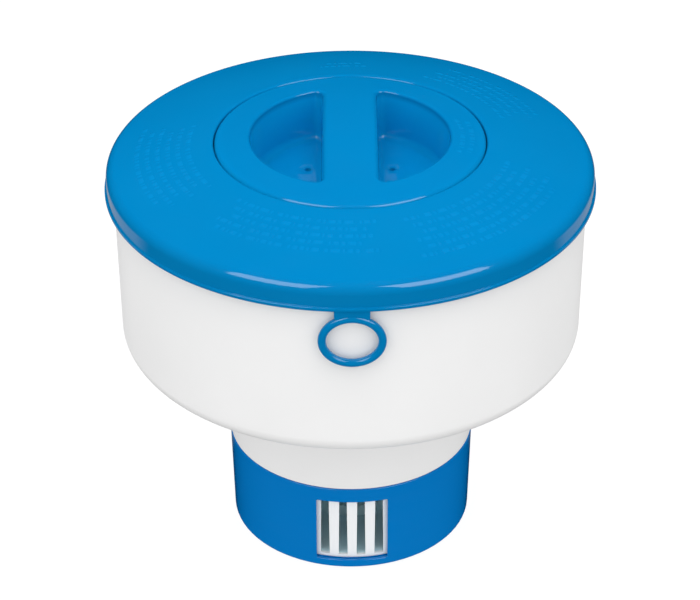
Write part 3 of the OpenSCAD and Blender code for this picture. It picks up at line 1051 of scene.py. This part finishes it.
def basket_painted_light_mask(tree):
    """Mask of the painted blue light inside the basket: 1 inside the basket, 0 on its outer
    face.
    """
    coords = tree.nodes.new("ShaderNodeTexCoord")
    away = distance_to_origin(tree, coords.outputs["Object"], (1, 1, 0))
    face = (CUP_IR_LOW - 0.4) * MM
    start, end = face - 1.6 * MM, face - 0.8 * MM
    return ranged(tree, away, 1, 0, from_low=start, from_high=end)


def make_materials():
    """A material for each look, with painted light on the paler insides of the cap and the
    basket.
    """
    made = {look: moulded(*values) for look, values in LOOKS.items()}
    # Painted light: a paler blue on the walls and floors of the cap's hollows
    paint_light_tone(made["cap"], HOLLOW_PAINTED_LIGHT, hollow_painted_light_mask)
    # Painted light: a blue tint inside the basket, for the light that comes through the blue
    # cover
    paint_light_tone(made["basket"], BASKET_PAINTED_LIGHT, basket_painted_light_mask)
    return made


# ---------------------------------------------------------------- studio

# Strength of the room in front of, behind and below the float, for diffuse light
DIFFUSE_FRONT, DIFFUSE_BACK, DIFFUSE_BELOW = 0.75, 1.25, 0.90
# Strength of the room as the glossy parts reflect it, and of the floor in front of
# the float, just behind it and far away
GLOSS_FRONT, GLOSS_BACK = 0.01, 0.0
FLOOR_FRONT, FLOOR_BEHIND, FLOOR_FAR = 0.0, 0.46, 0.0
# Metres behind the axis over which the mirrored floor brightens, and metres from the
# axis over which it fades
FLOOR_BRIGHTENS = (0.03, 0.08)
FLOOR_FADES = (0.36, 0.46)
FLOOR_SIZE = 12
FLOOR_GAP = 0.0001
FLOOR_GREY = 0.16
FLOOR_GLOW = 0.9
# How far up and how far back a direction points where the room's light changes
HORIZON = (-0.04, 0.04)
DIFFUSE_TURNS = (-0.2, 0.5)
GLOSS_TURNS = (-0.3, 0.3)
WHITE = (1, 1, 1, 1)

# Where the area lights point, and how far they are from there
LIGHT_TARGET = Vector((0, 0, 0.12))
LIGHT_DISTANCE = 1.5
# For each light: name, azimuth, elevation, width, height, radiance, and whether it is
# only seen in reflections. The others only light surfaces.
LIGHTS = [
    ("softbox_left", -38, 35, 1.35, 1.10, 0.9, False),
    ("softbox_right", 38, 35, 1.35, 1.10, 0.9, False),
    ("softbox_top", 0, 82, 1.3, 1.3, 2.6, False),
    ("streak_left", -39.5, 44, 0.89, 0.80, 3.9, True),
    ("streak_right", 44, 40, 1.01, 0.80, 4.2, True),
]

# Where the camera points, how far off it is, and its angles in degrees
CAMERA_AIM = Vector((0, 0, 0.09059))
CAMERA_DISTANCE = 1.0467
CAMERA_ELEVATION = 31.94
CAMERA_ASIDE = -0.3
CAMERA_ROLL = -0.19
CAMERA_SHIFT = -0.0010
# Width of the sensor and focal length, in millimetres
SENSOR = 36
FOCAL = 144.463


def blend(tree, factor, a, b):
    """A number that goes from a to b with the factor. Each is a number or a socket."""
    node = tree.nodes.new("ShaderNodeMix")
    for name, value in (("Factor", factor), ("A", a), ("B", b)):
        if isinstance(value, bpy.types.NodeSocket):
            tree.links.new(value, node.inputs[name])
        else:
            node.inputs[name].default_value = value
    return node.outputs["Result"]


def glowing(name, grey):
    """A material without gloss that gives off white light."""
    material, tree, shader = nodes_of(name)
    shader.inputs["Base Color"].default_value = (grey, grey, grey, 1)
    shader.inputs["Roughness"].default_value = 0.9
    shader.inputs["Specular IOR Level"].default_value = 0.0
    shader.inputs["Emission Color"].default_value = WHITE
    return material, tree, shader


def floor_plane(name, material):
    """A wide plane just under the foot, which doesn't light the float."""
    bpy.ops.mesh.primitive_grid_add(x_subdivisions=2, y_subdivisions=2, size=FLOOR_SIZE)
    plane = bpy.context.object
    plane.name = name
    plane.location.z = cad_low.z - FLOOR_GAP
    plane.data.materials.append(material)
    plane.visible_diffuse = False
    return plane


def floor():
    """Wide pale floor that the regulator's foot stands on."""
    material, _, shader = glowing("studio_floor_white", FLOOR_GREY)
    shader.inputs["Emission Strength"].default_value = FLOOR_GLOW
    plane = floor_plane("studio_floor", material)
    # The glossy parts reflect the mirrored floor instead
    plane.visible_glossy = False


def mirrored_floor():
    """The floor as the glossy parts reflect it, bright only just behind the float."""
    material, tree, shader = glowing("studio_floor_shaded", 0)
    coords = tree.nodes.new("ShaderNodeTexCoord")
    split = tree.nodes.new("ShaderNodeSeparateXYZ")
    tree.links.new(coords.outputs["Object"], split.inputs["Vector"])
    away = distance_to_origin(tree, coords.outputs["Object"])
    behind = ranged(tree, split.outputs["Y"], FLOOR_FRONT, FLOOR_BEHIND, *FLOOR_BRIGHTENS)
    beyond = ranged(tree, away, 0, 1, *FLOOR_FADES)
    glow = blend(tree, beyond, behind, FLOOR_FAR)
    tree.links.new(glow, shader.inputs["Emission Strength"])
    plane = floor_plane("studio_floor_mirrored", material)
    plane.visible_camera = False


def area_light(name, azimuth, elevation, width, height, radiance, gloss):
    """An area light on a sphere round the target. Azimuth 0 is the camera's side."""
    a, e = math.radians(azimuth), math.radians(elevation)
    away = Vector((math.sin(a) * math.cos(e), -math.cos(a) * math.cos(e), math.sin(e)))
    data = bpy.data.lights.new(name, "AREA")
    data.shape = "RECTANGLE"
    data.size = width
    data.size_y = height
    data.energy = radiance * math.pi * width * height
    lamp = bpy.data.objects.new(name, data)
    bpy.context.scene.collection.objects.link(lamp)
    lamp.visible_glossy = gloss
    lamp.visible_diffuse = not gloss
    lamp.location = LIGHT_TARGET + away * LIGHT_DISTANCE
    lamp.rotation_mode = "QUATERNION"
    lamp.rotation_quaternion = (-away).to_track_quat("-Z", "Y")


def surroundings():
    """White backdrop, and room light that diffuse and glossy surfaces see differently."""
    world = bpy.data.worlds.new("studio_world")
    bpy.context.scene.world = world
    world.use_nodes = True
    tree = world.node_tree
    background = tree.nodes["Background"]
    background.inputs["Color"].default_value = WHITE
    coords = tree.nodes.new("ShaderNodeTexCoord")
    split = tree.nodes.new("ShaderNodeSeparateXYZ")
    rays = tree.nodes.new("ShaderNodeLightPath")
    tree.links.new(coords.outputs["Generated"], split.inputs["Vector"])
    above = ranged(tree, split.outputs["Z"], 0, 1, *HORIZON)
    room = ranged(tree, split.outputs["Y"], DIFFUSE_FRONT, DIFFUSE_BACK, *DIFFUSE_TURNS)
    soft = blend(tree, above, DIFFUSE_BELOW, room)
    gloss = ranged(tree, split.outputs["Y"], GLOSS_FRONT, GLOSS_BACK, *GLOSS_TURNS)
    lit = blend(tree, rays.outputs["Is Glossy Ray"], soft, gloss)
    seen = blend(tree, rays.outputs["Is Camera Ray"], lit, 1.0)
    tree.links.new(seen, background.inputs["Strength"])


def camera():
    """Camera in front of the eye, looking down on the float."""
    elevation, aside = math.radians(CAMERA_ELEVATION), math.radians(CAMERA_ASIDE)
    roll = math.radians(CAMERA_ROLL)
    right = Vector((math.cos(aside), math.sin(aside), 0))
    front = Vector((math.sin(aside), -math.cos(aside), 0))
    back = front * math.cos(elevation) + Vector((0, 0, math.sin(elevation)))
    up = back.cross(right)
    x = right * math.cos(roll) + up * math.sin(roll)
    y = up * math.cos(roll) - right * math.sin(roll)
    data = bpy.data.cameras.new("studio_camera")
    data.sensor_width = SENSOR
    data.lens = FOCAL
    data.shift_x = CAMERA_SHIFT
    data.clip_start = 0.05
    data.clip_end = 50
    cam = bpy.data.objects.new("studio_camera", data)
    bpy.context.scene.collection.objects.link(cam)
    turn = Matrix((x, y, back)).transposed().to_4x4()
    cam.matrix_world = Matrix.Translation(CAMERA_AIM + back * CAMERA_DISTANCE) @ turn
    bpy.context.scene.camera = cam


def studio():
    """Everything round the float: floor, backdrop, lights and camera."""
    bpy.context.scene.view_settings.view_transform = "Standard"
    floor()
    mirrored_floor()
    surroundings()
    for light in LIGHTS:
        area_light(*light)
    camera()


def main():
    """The float's visible pieces, the looks of the other CAD nodes, and the studio."""
    looks = make_materials()
    float_shell(looks["float"])
    float_cover(looks["cover"])
    tether_eye(looks["cover"])
    relief("cover_relief", COVER_RELIEF, looks["marks"], "cover_blue", "float")
    regulator_cup(looks["regulator"])
    twist_cap(looks["cap"])
    relief("cap_relief", CAP_RELIEF, looks["marks"], "cap_blue", "cap")
    for node, look in NODE_LOOKS.items():
        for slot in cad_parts[node].material_slots:
            slot.material = looks[look]
    studio()


main()
